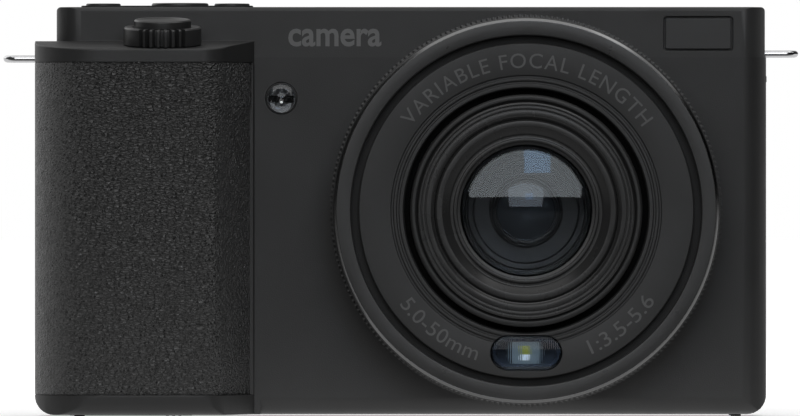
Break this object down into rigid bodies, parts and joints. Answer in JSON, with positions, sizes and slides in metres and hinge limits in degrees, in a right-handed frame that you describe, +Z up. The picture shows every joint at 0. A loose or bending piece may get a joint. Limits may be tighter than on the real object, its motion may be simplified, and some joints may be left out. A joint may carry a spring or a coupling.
{
  "type": "compact digital camera",
  "caption": "Slim black compact camera with a hand grip, a retracting zoom lens behind a knurled control ring, top controls, rear screen and strap loops.",
  "frame": {"origin": "centre of the tripod socket's mouth on the base plane, directly below the optical axis", "axes": "+X to the right seen from the front (long way of the case), +Y towards the viewer (the lens looks along -Y), +Z up"},
  "size_m": [0.1284, 0.042, 0.0666],
  "materials": {
    "case_black": "fine matte texture",
    "leatherette": "grained",
    "trim_black": "semi gloss",
    "ring_black": "black anodised, knurled",
    "button_black": "satin",
    "tube_black": "satin",
    "gear_white": "moulded",
    "gear_brass": "turned",
    "bright_wire": "polished",
    "steel": "satin",
    "lens_glass": "coated",
    "clear": "ribbed",
    "screen_glass": "gloss",
    "reflector": "bright",
    "phosphor": "phosphor",
    "board_green": "solder mask",
    "module_grey": "sheet",
    "battery_grey": "printed sleeve"
  },
  "bodies": {
    "case": {"front_cover": "case_black", "rear_cover": "case_black", "top_cover": "case_black", "grip_skin": "leatherette", "thumb_pad": "leatherette", "front_window_panel": "trim_black", "control_plate": "trim_black", "strap_loop_left": "bright_wire", "strap_loop_right": "bright_wire", "feet": "case_black", "tripod_socket": "steel", "case_screws": "steel", "lens_base": "trim_black", "bezel_plate": "trim_black", "fixed_barrel": "tube_black", "zoom_motor": "steel", "focus_rods": "steel", "sensor_board": "board_green", "lens_mount_plate": "steel", "flash_window": "clear", "flash_reflector": "reflector", "flash_led": "phosphor", "af_lamp_lens": "clear", "chassis": "steel", "main_board": "board_green", "lcd_module": "module_grey", "lcd_glass": "screen_glass", "battery": "battery_grey", "battery_holder": "tube_black", "battery_contacts": "gear_brass", "door_pin": "steel", "memory_card": "battery_grey", "usb_port": "steel", "shutter_switch": "board_green", "shutter_spring": "steel"},
    "control_ring": {"control_ring": "ring_black", "control_ring_trim": "ring_black"},
    "drive_ring": {"drive_ring": "gear_white"},
    "motor_pinion": {"motor_pinion": "gear_brass"},
    "zoom_outer": {"zoom_tube_outer": "tube_black"},
    "zoom_middle": {"zoom_tube_middle": "tube_black"},
    "zoom_inner": {"zoom_tube_inner": "tube_black", "front_lens": "lens_glass", "shutter_unit": "tube_black", "rear_lens": "lens_glass"},
    "focus_group": {"focus_carrier": "tube_black", "focus_lens": "lens_glass"},
    "shutter_button": {"shutter_button": "button_black"},
    "zoom_lever": {"zoom_lever": "ring_black"},
    "power_button": {"power_button": "button_black"},
    "record_button": {"record_button": "button_black"},
    "mode_button": {"mode_button": "button_black"},
    "play_button": {"play_button": "button_black"},
    "menu_button": {"menu_button": "button_black"},
    "pad_gimbal": {"pad_pivot": "tube_black"},
    "four_way_pad": {"four_way_pad": "button_black"},
    "ok_button": {"ok_button": "button_black"},
    "battery_door": {"battery_door": "case_black"},
    "door_latch": {"door_latch": "trim_black"},
    "port_door": {"port_door": "case_black"}
  },
  "joints": [
    {"name": "shutter_press", "type": "slide", "parent": "case", "child": "shutter_button", "axis": [0, 0.0958, -0.9954], "range_m": [0, 0.0008], "stiffness_N_per_m": 900, "deforming": ["shutter_spring"]},
    {"name": "zoom_lever_turn", "type": "hinge", "parent": "case", "child": "zoom_lever", "pos_m": [-0.0584, -0.0196, 0.05942], "axis": [0, -0.0958, 0.9954], "range_deg": [-20, 20], "stiffness_Nm_per_rad": 0.012},
    {"name": "power_press", "type": "slide", "parent": "case", "child": "power_button", "axis": [0, 0, -1], "range_m": [0, 0.00035], "stiffness_N_per_m": 1500},
    {"name": "record_press", "type": "slide", "parent": "case", "child": "record_button", "axis": [0, 0, -1], "range_m": [0, 0.00035], "stiffness_N_per_m": 1500},
    {"name": "mode_press", "type": "slide", "parent": "case", "child": "mode_button", "axis": [0, 0, -1], "range_m": [0, 0.00035], "stiffness_N_per_m": 1500},
    {"name": "play_press", "type": "slide", "parent": "case", "child": "play_button", "axis": [0, -1, 0], "range_m": [0, 0.0004], "stiffness_N_per_m": 1500},
    {"name": "menu_press", "type": "slide", "parent": "case", "child": "menu_button", "axis": [0, -1, 0], "range_m": [0, 0.0004], "stiffness_N_per_m": 1500},
    {"name": "ok_press", "type": "slide", "parent": "case", "child": "ok_button", "axis": [0, -1, 0], "range_m": [0, 0.0004], "stiffness_N_per_m": 1500},
    {"name": "pad_tilt_up_down", "type": "hinge", "parent": "case", "child": "pad_gimbal", "pos_m": [-0.056, 0.00835, 0.027], "axis": [1, 0, 0], "range_deg": [-2, 2], "stiffness_Nm_per_rad": 0.3},
    {"name": "pad_tilt_left_right", "type": "hinge", "parent": "pad_gimbal", "child": "four_way_pad", "pos_m": [-0.056, 0.00835, 0.027], "axis": [0, 0, 1], "range_deg": [-2, 2], "stiffness_Nm_per_rad": 0.3},
    {"name": "control_ring_turn", "type": "hinge", "parent": "case", "child": "control_ring", "pos_m": [0, -0.02, 0.0328], "axis": [0, 1, 0], "continuous": true},
    {"name": "zoom_drive", "type": "hinge", "parent": "case", "child": "drive_ring", "pos_m": [0, -0.0074, 0.0328], "axis": [0, 1, 0], "range_deg": [0, 101]},
    {"name": "pinion_spin", "type": "hinge", "parent": "case", "child": "motor_pinion", "pos_m": [-0.01768, -0.0073, 0.01512], "axis": [0, 1, 0], "range_deg": [-741, 2]},
    {"name": "zoom_outer_slide", "type": "slide", "parent": "case", "child": "zoom_outer", "axis": [0, -1, 0], "range_m": [0, 0.012]},
    {"name": "zoom_middle_slide", "type": "slide", "parent": "zoom_outer", "child": "zoom_middle", "axis": [0, -1, 0], "range_m": [0, 0.0101]},
    {"name": "zoom_inner_slide", "type": "slide", "parent": "zoom_middle", "child": "zoom_inner", "axis": [0, -1, 0], "range_m": [0, 0.0061]},
    {"name": "focus_slide", "type": "slide", "parent": "case", "child": "focus_group", "axis": [0, -1, 0], "range_m": [0, 0.004]},
    {"name": "battery_door_hinge", "type": "hinge", "parent": "case", "child": "battery_door", "pos_m": [-0.073, -0.0067, 0.00075], "axis": [0, 1, 0], "range_deg": [0, 95]},
    {"name": "door_latch_slide", "type": "slide", "parent": "battery_door", "child": "door_latch", "axis": [-1, 0, 0], "range_m": [0, 0.0022]},
    {"name": "port_door_hinge", "type": "hinge", "parent": "case", "child": "port_door", "pos_m": [0.0382, 0, 0.0378], "axis": [0, 1, 0], "range_deg": [0, 90]}
  ],
  "couplings": [
    {"joint": "pinion_spin", "follows": "zoom_outer_slide", "rad_per_m": -1066.6},
    {"joint": "zoom_drive", "follows": "zoom_outer_slide", "rad_per_m": 145.44},
    {"joint": "zoom_middle_slide", "follows": "zoom_outer_slide", "ratio": 0.83333},
    {"joint": "zoom_inner_slide", "follows": "zoom_outer_slide", "ratio": 0.5}
  ]
}
